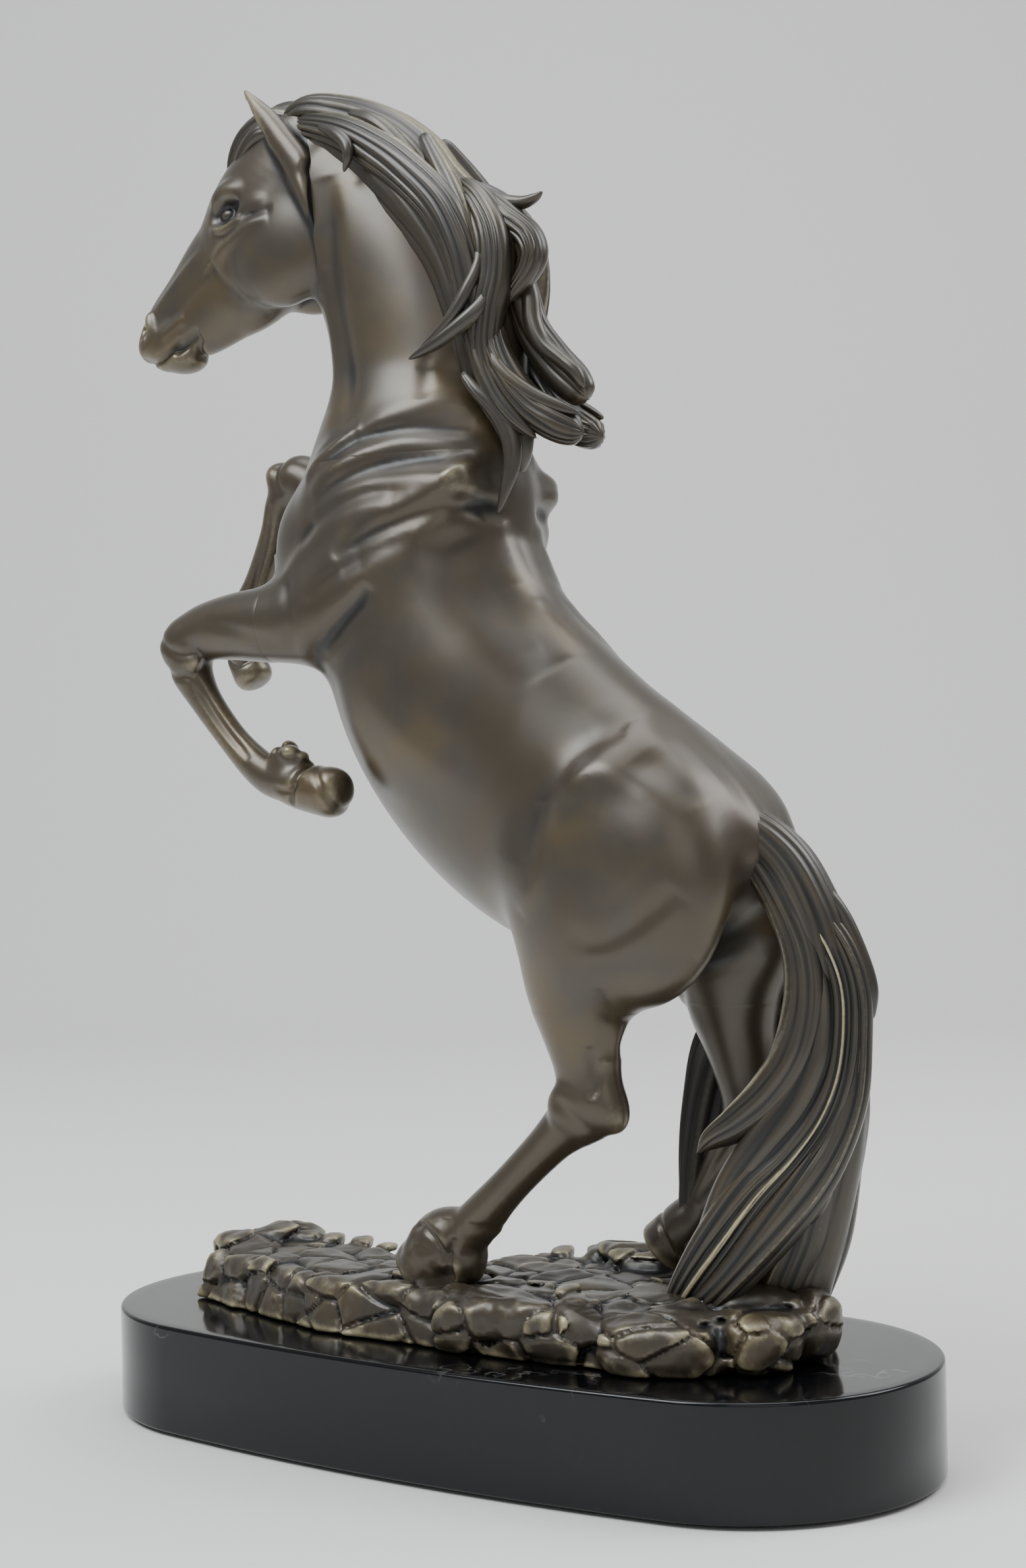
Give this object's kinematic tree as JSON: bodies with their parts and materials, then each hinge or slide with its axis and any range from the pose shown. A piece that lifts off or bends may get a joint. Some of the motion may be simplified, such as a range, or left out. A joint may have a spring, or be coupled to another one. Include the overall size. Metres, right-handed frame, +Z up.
{
  "type": "horse statue",
  "caption": "Rearing horse in patinated cast bronze on rough ground, bolted to an oval black marble base.",
  "frame": {"origin": "middle of the underside of the felt pad, on the surface that the statue stands on", "axes": "+Z up, X along the base's long axis with the horse facing -X, and its left side towards -Y"},
  "size_m": [0.254, 0.1154, 0.3856],
  "materials": {
    "bronze": "dark brown patina with a satin wax sheen and worn golden high spots",
    "hair_bronze": "dark brown patina rubbed bright along the hair's ridges",
    "ground_bronze": "dark brown patina rubbed bright on the rock edges",
    "marble": "polished black marble with faint pale veins",
    "felt": "dark felt",
    "steel": "plain turned and rolled steel, zinc plated"
  },
  "bodies": {
    "root": {"felt_pad": "felt", "marble_base": "marble", "front_stud": "steel", "front_washer": "steel", "front_nut": "steel", "rear_stud": "steel", "rear_washer": "steel", "rear_nut": "steel", "left_hoof_pin": "steel", "right_hoof_pin": "steel", "tail_pin": "steel", "ground_casting": "ground_bronze", "torso_casting": "bronze", "neck_casting": "bronze", "head_casting": "bronze", "mane_casting": "hair_bronze", "forelock_casting": "hair_bronze", "left_foreleg_casting": "bronze", "right_foreleg_casting": "bronze", "left_hind_leg_casting": "bronze", "right_hind_leg_casting": "bronze", "tail_casting": "hair_bronze"}
  },
  "joints": []
}
